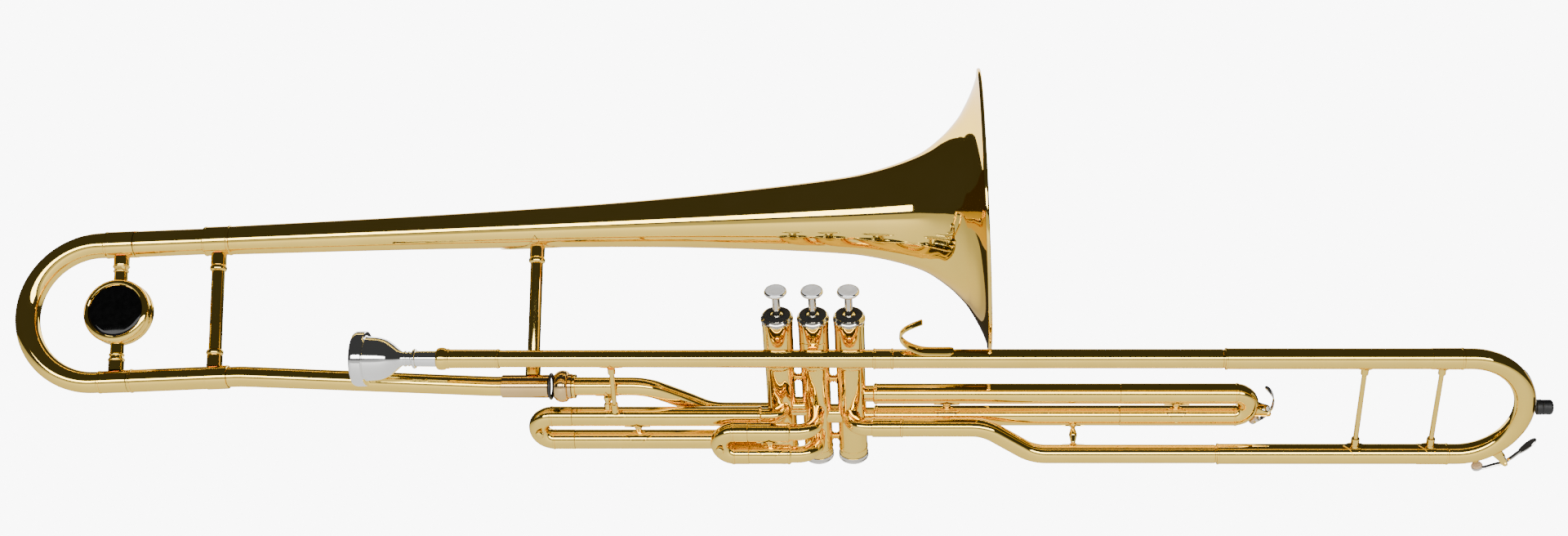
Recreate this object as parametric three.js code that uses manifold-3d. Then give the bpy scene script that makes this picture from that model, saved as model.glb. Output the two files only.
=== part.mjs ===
// A B flat valve trombone with three piston valves.
// Millimetres, +Z up, +X along the leadpipe to the front bow.
// The origin is on the second valve's axis at mid-casing, where the left hand holds it.
import * as THREE from 'three';
import { mergeVertices } from 'three/addons/utils/BufferGeometryUtils.js';
import Module from 'manifold-3d';

const wasm = await Module();
wasm.setup();

// ---------------------------------------------------------------- driving dimensions
const VALVE_TILT = 35;             // degrees that the valves lean towards the player's right
const VALVE_PITCH = 25.2;          // between valve axes
const CASING_R = 10.2;
const CASING_UPPER_R = 10.6;
const CASING_BORE = 9;
const CASING_TOP = 62.4;
const CASING_BOTTOM = -56.2;
const PISTON_R = 8.6;
const STEM_R = 2.8;
const BUTTON_T = 83.7;             // underside of a finger button at rest

const WALL = 0.6;                  // of a tube
const GAP = 0.3;                   // between pieces that touch or slide
const SIDES = 12;                  // of a tube
const VALVE_SIDES = 16;

const PIPE_N = 22;                 // how far the leadpipe's plane stands in front of the valves
const LEAD_T = 45;                 // leadpipe height along the valve axis
const RETURN_T = -41;              // return leg height along the valve axis
const ENTRY_T = -16.3;             // where the return leg enters the third valve
const FRONT_BOW_R = (LEAD_T - RETURN_T) / 2;
const FRONT_BOW_X = 458.5;
const FRONT_SLIDE_X = 287;         // open end of the front slide's outer legs
const SLIDE_TUBE_END = 380;        // end of the fixed tubes inside the front slide
const FRONT_R = 7.4;

const RECEIVER = [13, 13.6];       // n and t of the swivel joint's axis
const BELL_TILT = 14;              // degrees that the bell section's plane leans away from the player
const BELL_RISE = 2.4;             // degrees that the bell rises towards its rim
const BELL_RIM = [119.9, 3.9, 128.9];
const BELL_RADIUS = 101.6;         // an 8 inch bell
const BELL_LENGTH = 538;
const CROOK_SPREAD = 99.5;         // between the legs of the bell section
const CROOK_CENTRE = 630.8;        // from the bell's rim to the centre of the tuning crook

const FIRST = { n: 17, t: [-10.4, -31.4], r: 7, bow: -187.7 };
const SECOND = { n: 33, t: [-11.9, -32.2], r: 6.9, bow: -57 };
const THIRD = { n: 0, t: [-3.3, -23.3], r: 7.4, bow: 300.3 };

// ---------------------------------------------------------------- finishes
const finish = (color, roughness, metalness) => (
  new THREE.MeshStandardMaterial({ color, roughness, metalness }));
const brass = finish(0xc9a254, 0.18, 1);
const redBrass = finish(0xbf8f52, 0.2, 1);
const silver = finish(0xd4d6d8, 0.12, 1);
const nickel = finish(0xb9b6ad, 0.2, 1);
const felt = finish(0x151515, 0.95, 0);
const rubber = finish(0x1b1b1b, 0.7, 0);
const gloss = finish(0x0b0b0c, 0.1, 0);
const cork = finish(0xb98e5f, 0.9, 0);
const steel = finish(0x8d8f92, 0.35, 1);

// ---------------------------------------------------------------- frames
const rad = THREE.MathUtils.degToRad;
const trombone = new THREE.Group();
const valveFrame = new THREE.Group();       // X along the tubes, Z up the valves, -Y to the front
valveFrame.rotation.x = rad(VALVE_TILT);
const bellFrame = new THREE.Group();        // origin at the rim, bell along -X, lower leg below it on -Z
bellFrame.rotation.set(rad(-BELL_TILT), rad(-BELL_RISE), 0);
bellFrame.position.set(...BELL_RIM);
trombone.add(valveFrame, bellFrame);
trombone.updateMatrixWorld(true);

const at = (x, n, t) => new THREE.Vector3(x, -n, t);
const behind = (a, z = 0, y = 0) => new THREE.Vector3(-a, y, z);
const fromBell = (a, z) => bellFrame.localToWorld(behind(a, z));
const fromValves = (x, n, t) => valveFrame.localToWorld(at(x, n, t));

function add(group, name, material, geometry) {
  const mesh = new THREE.Mesh(geometry, material);
  mesh.name = name;
  group.add(mesh);
}

// ---------------------------------------------------------------- shape helpers
function solid(geometry) {
  const bare = geometry.clone();
  bare.deleteAttribute('normal');
  bare.deleteAttribute('uv');
  const merged = mergeVertices(bare, 1e-4);
  const index = merged.index.array;
  const kept = [];
  for (let i = 0; i < index.length; i += 3) {
    const [a, b, c] = [index[i], index[i + 1], index[i + 2]];
    if (a !== b && b !== c && c !== a) kept.push(a, b, c);
  }
  const vertProperties = new Float32Array(merged.attributes.position.array);
  return new wasm.Manifold(new wasm.Mesh({ numProp: 3, vertProperties, triVerts: new Uint32Array(kept) }));
}

function geometryOf(body) {
  const mesh = body.asOriginal().simplify(0.01).getMesh();
  const geometry = new THREE.BufferGeometry();
  geometry.setAttribute('position', new THREE.BufferAttribute(mesh.vertProperties, 3));
  geometry.setIndex(new THREE.BufferAttribute(mesh.triVerts, 1));
  return geometry;
}

const join = (...parts) => geometryOf(parts.map(solid).reduce((a, b) => a.add(b)));
const cut = (part, ...tools) => geometryOf(tools.map(solid).reduce((a, b) => a.subtract(b), solid(part)));

// A route runs straight between its corners and turns each inner corner on an arc of its own radius.
function route(corners, radii = []) {
  const pieces = [];
  let length = 0;
  let here = corners[0].clone();
  let way = corners[1].clone().sub(here).normalize();
  let turn = new THREE.Quaternion().setFromUnitVectors(new THREE.Vector3(0, 1, 0), way);
  for (let i = 1; i < corners.length; i++) {
    const next = corners[i + 1] && corners[i + 1].clone().sub(corners[i]).normalize();
    const angle = next ? way.angleTo(next) : 0;
    const setback = next ? radii[i - 1] * Math.tan(angle / 2) : 0;
    const run = here.distanceTo(corners[i]) - setback;
    pieces.push({ start: length, length: run, here: here.clone(), way: way.clone(), turn: turn.clone() });
    length += run;
    here = here.clone().addScaledVector(way, run);
    if (!next) break;
    const axis = way.clone().cross(next).normalize();
    const centre = here.clone().addScaledVector(axis.clone().cross(way), radii[i - 1]);
    const arc = { start: length, length: angle * radii[i - 1], here, way, turn, axis, centre, angle };
    pieces.push(arc);
    length += arc.length;
    turn = new THREE.Quaternion().setFromAxisAngle(axis, angle).multiply(turn);
    here = here.clone().sub(centre).applyAxisAngle(axis, angle).add(centre);
    way = next;
  }
  return { pieces, length };
}

function place(path, s, offset) {
  const piece = path.pieces.findLast((p) => s >= p.start - 1e-6) ?? path.pieces[0];
  const along = s - piece.start;
  if (!piece.axis) {
    return offset.applyQuaternion(piece.turn).add(piece.here).addScaledVector(piece.way, along);
  }
  const angle = piece.angle * along / piece.length;
  const centreline = piece.here.clone().sub(piece.centre)
    .applyAxisAngle(piece.axis, angle).add(piece.centre);
  return offset.applyQuaternion(piece.turn).applyAxisAngle(piece.axis, angle).add(centreline);
}

// Distances along the path where an arc needs a ring of its own.
function bendStations(path, step) {
  return path.pieces.filter((p) => p.axis).flatMap((p) => {
    const count = Math.max(1, Math.round(p.angle / rad(step)));
    return Array.from({ length: count + 1 }, (_, i) => p.start + p.length * i / count);
  });
}

// Radii given as [distance, radius] pairs; a negative distance counts back from the far end.
function profileAlong(path, radii, step) {
  const pairs = typeof radii === 'number' ? [[0, radii], [path.length, radii]] : radii;
  const list = pairs.map(([s, r]) => [s < 0 ? s + path.length : s, r]);
  const bends = bendStations(path, step);
  const points = [list[0]];
  for (let i = 1; i < list.length; i++) {
    const [[s0, r0], [s1, r1]] = [list[i - 1], list[i]];
    bends.filter((s) => s > s0 + 0.05 && s < s1 - 0.05)
      .forEach((s) => points.push([s, r0 + (r1 - r0) * (s - s0) / (s1 - s0)]));
    points.push([s1, r1]);
  }
  return points;
}

// A tube (or, with no bore, a rod) of varying radius along a route.
function pipe(corners, bends, outer, bore, { sides = SIDES, step = 30 } = {}) {
  const path = route(corners, bends);
  const skin = profileAlong(path, outer, step);
  const core = bore ? profileAlong(path, bore, step).reverse() : [[path.length, 0], [0, 0]];
  const outline = bore ? [...skin, ...core, skin[0]] : [core[1], ...skin, core[0]];
  const geometry = new THREE.LatheGeometry(outline.map(([s, r]) => new THREE.Vector2(r, s)), sides);
  const position = geometry.attributes.position;
  for (let i = 0; i < position.count; i++) {
    const offset = new THREE.Vector3(position.getX(i), 0, position.getZ(i));
    position.setXYZ(i, ...place(path, position.getY(i), offset));
  }
  return geometry;
}

const rod = (from, to, radii, sides = 8) => pipe([from, to], [], radii, 0, { sides });
const turned = (from, to, outer, bore, sides) => pipe([from, to], [], outer, bore, { sides });

// A flat strip: a path of [x, t] points given a thickness, then a width along n about the middle n.
function strip(points, thickness, width, n) {
  const line = points.map(([x, t]) => new THREE.Vector2(x, t));
  const side = (sign) => line.map((p, i) => {
    const along = line[Math.min(i + 1, line.length - 1)].clone().sub(line[Math.max(i - 1, 0)]).normalize();
    return new THREE.Vector2(-along.y, along.x).multiplyScalar(sign * thickness / 2).add(p);
  });
  const shape = new THREE.Shape([...side(-1), ...side(1).reverse()]);
  const geometry = new THREE.ExtrudeGeometry(shape, { depth: width, bevelEnabled: false });
  geometry.rotateX(Math.PI / 2);
  geometry.translate(0, -n + width / 2, 0);
  return geometry;
}

// ---------------------------------------------------------------- valves
const valveX = [-VALVE_PITCH, 0, VALVE_PITCH];
const clearance = (x) => rod(at(x, 0, -80), at(x, 0, 80), CASING_R + GAP, 24);
const frontPort = (x, t) => rod(at(x, 4, t), at(x, 14, t), 5.2, SIDES);
const sidePort = (x, t, r = 5.2) => rod(at(x - 6, 0, t), at(x + 6, 0, t), r, SIDES);
const KNUCKLE_T = [-14.7, -21.4];
const EXIT_T = -20;

const ports = [
  [
    sidePort(-VALVE_PITCH - 9, EXIT_T),
    ...FIRST.t.map((t) => frontPort(-VALVE_PITCH, t)),
    sidePort(-VALVE_PITCH + 9, KNUCKLE_T[0]),
  ],
  [
    sidePort(-9, KNUCKLE_T[0]),
    ...SECOND.t.map((t) => frontPort(0, t)),
    sidePort(9, KNUCKLE_T[1]),
  ],
  [
    sidePort(VALVE_PITCH - 9, KNUCKLE_T[1]),
    frontPort(VALVE_PITCH, ENTRY_T),
    ...THIRD.t.map((t) => sidePort(VALVE_PITCH + 9, t, 4.8)),
  ],
];

function casing(i) {
  const x = valveX[i];
  const foot = at(x, 0, CASING_BOTTOM);
  const height = CASING_TOP - CASING_BOTTOM;
  const step = 27 - CASING_BOTTOM;
  const shell = turned(foot, at(x, 0, CASING_TOP),
    [[0, CASING_R], [step, CASING_R], [step, CASING_UPPER_R], [height, CASING_UPPER_R]],
    CASING_BORE, VALVE_SIDES);
  const bored = cut(shell, ...ports[i]);
  const guide = new THREE.BoxGeometry(3, 2 * CASING_BORE + 1, 2.5).translate(x, 0, 27);
  if (i !== 1) return join(bored, guide);
  const stays = [[-1, 12], [1, 10.6], [1, -41.9]].map(([side, t]) => (
    rod(at(side * 9.6, 0, t), at(side * 15.6, 0, t), 2.6)));
  const pipeStay = rod(at(0, CASING_UPPER_R - 0.8, LEAD_T + 2), at(0, PIPE_N - 6.9, LEAD_T + 2), 3);
  return cut(join(bored, guide, pipeStay, ...stays), clearance(-VALVE_PITCH), clearance(VALVE_PITCH));
}

function piston(x) {
  const [base, top, stemTop] = [-39.5, 56, BUTTON_T - GAP];
  const body = turned(at(x, 0, base), at(x, 0, stemTop),
    [[0, PISTON_R], [top - base, PISTON_R], [top - base, STEM_R], [stemTop - base, STEM_R]], 0, VALVE_SIDES);
  const barrel = rod(at(x, 0, 25), at(x, 0, top - 2), 7.4, SIDES);
  const window = new THREE.BoxGeometry(4.4, 30, 27).translate(x, 0, 38.3);
  const passages = [[-10, 4.6], [-21, 4.6], [-32, 4.6]].map(([t, r], k) => (
    k === 1 ? rod(at(x - 12, 0, t), at(x + 12, 0, t), r) : rod(at(x, -12, t), at(x, 12, t), r)));
  return cut(body, barrel, window, ...passages);
}

function spring(x) {
  const turns = 5;
  class Coil extends THREE.Curve {
    getPoint(u) {
      const angle = 2 * Math.PI * turns * u;
      return new THREE.Vector3(x + 6 * Math.cos(angle), 6 * Math.sin(angle), 29.6 + 23 * u);
    }
  }
  const corners = [[0.7, 0], [0, 0.7], [-0.7, 0], [0, -0.7]];
  const wire = new THREE.Shape(corners.map(([u, v]) => new THREE.Vector2(u, v)));
  return new THREE.ExtrudeGeometry(wire, { steps: turns * 8, extrudePath: new Coil(), bevelEnabled: false });
}

valveX.forEach((x, i) => {
  const number = i + 1;
  add(valveFrame, `casing_${number}`, brass, casing(i));
  add(valveFrame, `bottom_cap_${number}`, nickel,
    rod(at(x, 0, -61.5), at(x, 0, CASING_BOTTOM - GAP), [[0, 9.6], [1, 10.6], [5, 10.6]], VALVE_SIDES));
  add(valveFrame, `top_cap_${number}`, nickel,
    turned(at(x, 0, CASING_TOP + GAP), at(x, 0, 65.6), [[0, 11.3], [2.9, 9.9]], 3.2, VALVE_SIDES));
  add(valveFrame, `cap_felt_${number}`, felt, turned(at(x, 0, 65.9), at(x, 0, 67.2), 9.5, 3.2, VALVE_SIDES));
  add(valveFrame, `piston_${number}`, nickel, piston(x));
  add(valveFrame, `spring_${number}`, steel, spring(x));
  add(valveFrame, `button_${number}`, silver,
    rod(at(x, 0, BUTTON_T), at(x, 0, 88.2), [[0, 4.6], [1, 7.4], [2.2, 7.9], [3.6, 7.7], [4.5, 6.9]],
      VALVE_SIDES));
});

[[-1, 0], [0, 1]].forEach(([from, to], k) => {
  const [a, b] = [from * VALVE_PITCH + 4, to * VALVE_PITCH - 4];
  const tube = pipe([at(a, 0, KNUCKLE_T[k]), at(b, 0, KNUCKLE_T[k])], [], 6.9, 5.2);
  add(valveFrame, `knuckle_${k + 1}${k + 2}`, brass,
    cut(tube, clearance(from * VALVE_PITCH), clearance(to * VALVE_PITCH)));
});

// ---------------------------------------------------------------- mouthpiece and leadpipe
const RIM_X = -318.4;
const MOUTH_LENGTH = 80;
const along = (x) => x - RIM_X;
const rim = at(RIM_X, PIPE_N, LEAD_T);
const shankEnd = at(RIM_X + MOUTH_LENGTH, PIPE_N, LEAD_T);
add(valveFrame, 'mouthpiece', silver, turned(rim, shankEnd, [
  [0, 15.8], [1, 18.4], [3, 19.4], [along(-310.6), 19.5], [along(-309.4), 18.8], [along(-309.2), 15.6],
  [along(-302), 15.1], [along(-297), 13.8], [along(-292.5), 11.3], [along(-287.4), 7], [along(-284.3), 5.2],
  [along(-277.6), 5.4], [along(-276.4), 7], [along(-274.8), 5.6], [along(-261), 5.7], [MOUTH_LENGTH, 5.3],
], [[0, 15.8], [1.2, 12.6], [9, 11.4], [17, 10], [24, 7], [32, 3.3], [38, 3.3], [MOUTH_LENGTH, 4.6]],
VALVE_SIDES));
const receiverStart = -260.9;
add(valveFrame, 'mouthpiece_receiver', brass, turned(
  at(receiverStart, PIPE_N, LEAD_T), at(-217.3, PIPE_N, LEAD_T),
  [[0, 7.4], [1.5, 7.9], [6.6, 7.9], [8.1, 6.95], [39, 6.95], [39.6, 7.3], [43.6, 7.3]],
  [[0, 6.5], [43.6, 6.3]], SIDES));

const LEAD_START = -237.5;
const lead = (x) => x - LEAD_START;
add(valveFrame, 'leadpipe', brass, turned(at(LEAD_START, PIPE_N, LEAD_T), at(SLIDE_TUBE_END, PIPE_N, LEAD_T),
  [[0, 5.9], [lead(42.2), 6.5], [lead(42.2), 7.1], [lead(56.4), 7.1], [lead(56.4), 6.5],
    [lead(SLIDE_TUBE_END), 6.5]],
  [[0, 5.2], [lead(42.2), 5.9], [lead(SLIDE_TUBE_END), 5.9]], SIDES));

const HOOK = [[97.5, 53], [78, 53], [68, 56.5], [62, 62], [62.3, 67], [66, 71.5], [71, 74.5], [76.7, 77]];
add(valveFrame, 'finger_hook', brass, strip(HOOK, 2, 6.5, PIPE_N));

// ---------------------------------------------------------------- return leg to the third valve
const returnPipe = pipe([
  at(SLIDE_TUBE_END, PIPE_N, RETURN_T), at(155, PIPE_N, RETURN_T), at(120, PIPE_N, ENTRY_T),
  at(VALVE_PITCH, PIPE_N, ENTRY_T), at(VALVE_PITCH, 6, ENTRY_T),
], [30, 30, 12],
[[0, 6.5], [-47, 6.5], [-47, 7.1], [-31, 7.1], [-31, 6], [-1e-9, 6]],
[[0, 5.9], [-47, 5.9], [-31, 5.3], [-1e-9, 5.3]]);
add(valveFrame, 'return_tube', brass, cut(returnPipe, clearance(VALVE_PITCH)));

// ---------------------------------------------------------------- front tuning slide
const bowEnd = FRONT_BOW_X + FRONT_BOW_R;
const frontLeg = FRONT_BOW_X - FRONT_SLIDE_X;
const frontPipe = pipe([
  at(FRONT_SLIDE_X, PIPE_N, LEAD_T), at(bowEnd, PIPE_N, LEAD_T),
  at(bowEnd, PIPE_N, RETURN_T), at(FRONT_SLIDE_X, PIPE_N, RETURN_T),
], [FRONT_BOW_R, FRONT_BOW_R], [
  [0, FRONT_R], [frontLeg - 28, FRONT_R], [frontLeg - 28, 7.7], [frontLeg - 6, 7.7], [frontLeg - 6, FRONT_R],
  [6 - frontLeg, FRONT_R], [6 - frontLeg, 7.7], [28 - frontLeg, 7.7], [28 - frontLeg, FRONT_R],
  [-1e-9, FRONT_R],
], FRONT_R - WALL, { step: 22.5 });
const frontEars = keyEars(FRONT_BOW_X, 2, FRONT_BOW_R + FRONT_R, [494.6, -47.1], PIPE_N);
add(valveFrame, 'front_slide', brass, join(frontPipe, ...frontEars));
[385.5, 439.5].forEach((x, i) => {
  add(valveFrame, `front_slide_brace_${i + 1}`, brass, rod(
    at(x, PIPE_N, RETURN_T + 8.2), at(x, PIPE_N, LEAD_T - 8.2),
    [[0, 3], [6.2, 3], [6.2, 1.9], [-4.5, 1.8], [-4.5, 2.8], [-1e-9, 2.8]]));
});
add(valveFrame, 'bumper', rubber, rod(at(bowEnd + FRONT_R + GAP, PIPE_N, 2), at(521.7, PIPE_N, 2),
  [[0, 5.3], [3.8, 5.3], [4.2, 5], [5, 5.5], [10.8, 5.5], [-1e-9, 4.4]], VALVE_SIDES));

// Two ears that carry a water key's pivot, from the bow's outer wall out to the pivot.
function keyEars(x, t, wallR, [pivotX, pivotT], n) {
  const way = new THREE.Vector2(pivotX - x, pivotT - t);
  const reach = way.length();
  way.normalize();
  const foot = wallR - 3;
  return [-3.9, 3.9].map((side) => {
    const ear = new THREE.BoxGeometry(reach + 2 - foot, 1.6, 4);
    ear.translate((reach + 2 + foot) / 2, 0, 0);
    ear.rotateY(-way.angle());
    return ear.translate(x, -n - side, t);
  });
}

// A water key: a lever on a pivot barrel, with a cork cup at one end and a thumb plate at the other.
function waterKey(name, points, pivot, seat, centre, n) {
  const barrel = rod(at(pivot[0], n - 2.7, pivot[1]), at(pivot[0], n + 2.7, pivot[1]), 2);
  const inward = new THREE.Vector2(centre[0] - seat[0], centre[1] - seat[1]).normalize();
  const along = (d) => at(seat[0] + inward.x * d, n, seat[1] + inward.y * d);
  const cup = rod(along(-1), along(1.2), 4.2);
  add(valveFrame, name, nickel, join(strip(points, 1.4, 4.4, n), barrel, cup));
  add(valveFrame, `${name}_cork`, cork, rod(along(1.5), along(2.9), 4));
}

waterKey('front_water_key',
  [[475, -54.2], [484, -52], [494.6, -48.6], [503, -40], [508, -34.9], [516.9, -24.9]],
  [494.6, -47.1], [476.1, -53.4], [FRONT_BOW_X, 2], PIPE_N);

// ---------------------------------------------------------------- valve slides
const slideBowR = (slide) => (slide.t[0] - slide.t[1]) / 2;

// The two fixed tubes of a slide run from the open end to the casing; the upper one carries the short post.
function addFixedTubes(name, slide, openX, stepX, valve, elbow, postX) {
  const reach = Math.abs(openX - stepX);
  const wall = [[0, slide.r], [reach + 1, slide.r], [reach + 1, 5.8], [-1e-9, 5.8]];
  const bore = [[0, slide.r - WALL], [reach, slide.r - WALL], [reach, 5.2], [-1e-9, 5.2]];
  const tube = (t) => {
    const bent = [at(openX, slide.n, t), at(valve, slide.n, t), at(valve, 6, t)];
    const straight = [at(openX, slide.n, t), at(valve + 6, slide.n, t)];
    return cut(pipe(elbow ? bent : straight, elbow ? [elbow] : [], wall, bore), clearance(valve));
  };
  const [upper, lower] = slide.t;
  const postTop = at(postX, slide.n, upper - slide.r + 0.72);
  const post = rod(postTop, at(postX, slide.n, lower + slide.r + GAP), 2.4);
  add(valveFrame, `${name}_upper_tube`, brass, join(tube(upper), post));
  add(valveFrame, `${name}_lower_tube`, brass, tube(lower));
}

// A movable slide: inner legs, then ferrules or outer legs of the tube's own radius, then the bow.
function movableSlide(slide, innerX, openX) {
  const r = slideBowR(slide);
  const apex = slide.bow + Math.sign(slide.bow - openX) * r;
  const legR = slide.r - WALL - GAP;
  const bandR = slide.r + 0.2;
  const band = Math.abs(openX - innerX) + GAP;
  const bandEnd = band + Math.min(Math.abs(slide.bow - openX) - GAP, 15);
  const half = [[0, legR], [band, legR], [band, bandR], [bandEnd, bandR], [bandEnd, slide.r]];
  const mirrored = half.toReversed().map(([s, radius]) => [-Math.max(s, 1e-9), radius]);
  const [upper, lower] = slide.t;
  const turns = [[innerX, upper], [apex, upper], [apex, lower], [innerX, lower]];
  const corners = turns.map(([x, t]) => at(x, slide.n, t));
  return pipe(corners, [r, r], [...half, ...mirrored], legR - WALL);
}

addFixedTubes('first_slide', FIRST, -172.7, -38.7, -VALVE_PITCH, 7.5, -127);
add(valveFrame, 'first_slide', brass, movableSlide(FIRST, -115, -172.7));
addFixedTubes('second_slide', SECOND, -46.9, -17.4, 0, 12, -31.9);
add(valveFrame, 'second_slide', brass, movableSlide(SECOND, -21, -46.9));
addFixedTubes('third_slide', THIRD, 217.6, 41.1, VALVE_PITCH, 0, 93.3);
const thirdSlide = movableSlide(THIRD, 130, 217.6);
const thirdPostTop = at(258.3, 0, THIRD.t[0] - THIRD.r + 0.72);
const thirdPost = rod(thirdPostTop, at(258.3, 0, THIRD.t[1] + THIRD.r - 0.72), 2.4);
const thirdEars = keyEars(THIRD.bow, -13.3, slideBowR(THIRD) + THIRD.r, [324.7, -19], 0);
add(valveFrame, 'third_slide', brass, join(thirdSlide, thirdPost, ...thirdEars));
waterKey('third_water_key', [[315, -28.5], [321, -25.5], [326, -20.2], [328.5, -12], [327, -4], [321.1, 2.6]],
  [324.7, -19], [315.9, -27], [THIRD.bow, -13.3], 0);

// ---------------------------------------------------------------- swivel joint and exit tube
const swivel = (x) => at(x, ...RECEIVER);
const exitPipe = pipe(
  [swivel(-183), swivel(-119), at(-97, 3.5, -4.9), at(-76, -1, EXIT_T),
    at(-VALVE_PITCH - 6, -1, EXIT_T)], [28, 60, 28],
  [[0, 6.5], [12, 6.5], [12, 8.7], [15, 8.7], [15, 6.5], [-1e-9, 6.2]], 5.6);
const exitPostTop = at(-147, RECEIVER[0] + 0.2, RECEIVER[1] - 6);
const exitPost = rod(exitPostTop, at(-147, FIRST.n, FIRST.t[0] + FIRST.r + GAP), 2);
add(valveFrame, 'exit_tube', brass, cut(join(exitPipe, exitPost), clearance(-VALVE_PITCH)));
add(valveFrame, 'lock_washer', rubber, turned(swivel(-187.4), swivel(-185.2), 9.6, 7.2, VALVE_SIDES));
add(valveFrame, 'lock_nut', redBrass, turned(swivel(-183.9), swivel(-171.3),
  [[0, 8.4], [1, 10.2], [4, 11.5], [8.6, 11.5], [11.6, 10.2], [12.6, 8.4]], 7.2, VALVE_SIDES));
add(valveFrame, 'neck_receiver', redBrass,
  turned(swivel(-220.9), swivel(-187.7), [[0, 8.1], [30, 8.3], [33.2, 8.3]], 7.5, SIDES));

// ---------------------------------------------------------------- bell section
const BELL_OUTLINE = [
  [0, BELL_RADIUS], [5, 87], [11.5, 74], [17.4, 65], [30, 52.3], [48, 40.7], [78, 31.4], [107, 26.7],
  [177, 20.8], [235, 17.25], [294, 14.9], [410, 12], [BELL_LENGTH, 10.2]];
const BELL_WALL = 0.8;

function bell() {
  const outer = BELL_OUTLINE.map(([a, r]) => new THREE.Vector2(r, -a));
  const inner = outer.map((p, i) => {
    const next = outer[Math.min(i + 1, outer.length - 1)];
    const along = next.clone().sub(outer[Math.max(i - 1, 0)]).normalize();
    return new THREE.Vector2(along.y, -along.x).multiplyScalar(BELL_WALL).add(p);
  });
  inner[inner.length - 1].y = -BELL_LENGTH;
  const outline = [...outer.slice().reverse(), ...inner, outer[outer.length - 1]];
  return new THREE.LatheGeometry(outline, 24).rotateZ(-Math.PI / 2);
}
add(bellFrame, 'bell', brass, bell());

const UPPER = { r: 9.35, bore: 8.75 };
const LOWER = { r: 8.05, bore: 7.45 };
const SLEEVE_END = 606.3;
const lower = (a) => behind(a, -CROOK_SPREAD);
add(bellFrame, 'upper_sleeve', brass, turned(behind(BELL_LENGTH + GAP), behind(SLEEVE_END),
  [[0, 10.5], [18.7, 10.5], [18.7, UPPER.r], [SLEEVE_END - BELL_LENGTH - GAP, UPPER.r]], UPPER.bore, SIDES));
add(bellFrame, 'lower_sleeve', brass, turned(lower(536.3), lower(SLEEVE_END), LOWER.r, LOWER.bore, SIDES));

const crookR = CROOK_SPREAD / 2;
const apex = CROOK_CENTRE + crookR;
const CROOK_START = 562;
const legIn = SLEEVE_END + GAP - CROOK_START;
const legOut = CROOK_CENTRE - CROOK_START;
const upperLegR = UPPER.bore - GAP;
const lowerLegR = LOWER.bore - GAP;
add(bellFrame, 'tuning_crook', brass, pipe(
  [behind(CROOK_START), behind(apex), behind(apex, -CROOK_SPREAD), lower(CROOK_START)], [crookR, crookR],
  [[0, upperLegR], [legIn, upperLegR], [legIn, 9.3], [legOut, 9.3], [legOut, 9.05],
    [-legOut, 7.5], [-legOut, 8], [-legIn, 8], [-legIn, lowerLegR], [-1e-9, lowerLegR]],
  [[0, upperLegR - WALL], [legOut, upperLegR - WALL], [-legOut, lowerLegR - WALL], [-1e-9, lowerLegR - WALL]],
  { step: 18 }));

add(bellFrame, 'rear_brace', brass, rod(behind(547, -CROOK_SPREAD + LOWER.r + GAP), behind(547, -10.5 - GAP),
  [[0, 5.4], [12, 5.4], [12, 4.35], [-12, 4.35], [-12, 5.4], [-1e-9, 5.4]], 10));

const WEIGHT_A = 616.2;
const WEIGHT_R = 23.2;
const weightAt = (y) => behind(WEIGHT_A, -CROOK_SPREAD / 2, y);
const weightPost = rod(behind(WEIGHT_A, -CROOK_SPREAD + 8 + GAP), behind(WEIGHT_A, -9.3 - GAP), 5, 10);
const weightBody = rod(weightAt(7), weightAt(-8),
  [[0, 21], [1.5, WEIGHT_R], [6, WEIGHT_R], [7, 22], [8, WEIGHT_R], [13.5, WEIGHT_R], [15, 21.5]], 24);
const weightRecess = rod(weightAt(-6.4), weightAt(-9), 18.9, 24);
add(bellFrame, 'counterweight', brass, cut(join(weightPost, weightBody), weightRecess));
add(bellFrame, 'counterweight_disc', gloss,
  rod(weightAt(-6.7), weightAt(-8.2), [[0, 18.5], [1, 18.5], [1.5, 14]], 24));

add(trombone, 'neckpipe', brass, pipe(
  [fromBell(536, -CROOK_SPREAD), fromBell(528, -CROOK_SPREAD),
    fromValves(-228, ...RECEIVER), fromValves(-203, ...RECEIVER)], [60, 60],
  [[0, 7.2], [-1e-9, 6.9]], [[0, 6.5], [-1e-9, 6.2]]));

const braceFoot = fromValves(-199.5, ...RECEIVER);
const braceHead = fromBell(319.5, 0);
const braceWay = braceHead.clone().sub(braceFoot).normalize();
const braceReach = braceFoot.distanceTo(braceHead);
const onBrace = (d) => braceFoot.clone().addScaledVector(braceWay, d);
add(trombone, 'bell_brace', brass, rod(onBrace(8.5 + GAP + 0.3), onBrace(braceReach - 15),
  [[0, 5.3], [12, 5.3], [12, 4.35], [-12, 4.35], [-12, 5.3], [-1e-9, 5.3]], 10));

// ---------------------------------------------------------------- small braces between fixed tubes
add(valveFrame, 'leadpipe_brace', brass, rod(
  at(-140.3, PIPE_N + 1.6, LEAD_T - 6.9), at(-141.7, FIRST.n + 3.8, FIRST.t[0] + 7.4),
  [[0, 2.8], [3.2, 2.8], [4, 1.8], [-7.4, 1.8], [-6.8, 2.9], [-1e-9, 2.9]]));

const braceX = 184.2;
const slideSide = at(braceX, THIRD.n, THIRD.t[1]);
const pipeSide = at(braceX, PIPE_N, RETURN_T);
const across = pipeSide.clone().sub(slideSide).normalize();
add(valveFrame, 'slide_brace', brass, rod(
  slideSide.clone().addScaledVector(across, THIRD.r + GAP),
  pipeSide.clone().addScaledVector(across, -6.6 - GAP),
  [[0, 3], [2.5, 3], [4, 2], [-4, 2], [-2.5, 3], [-1e-9, 3]]));

export default trombone;
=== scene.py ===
"""Looks of the valve trombone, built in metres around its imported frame."""
import math

import bmesh
import bpy
from mathutils import Matrix, Quaternion, Vector


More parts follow.
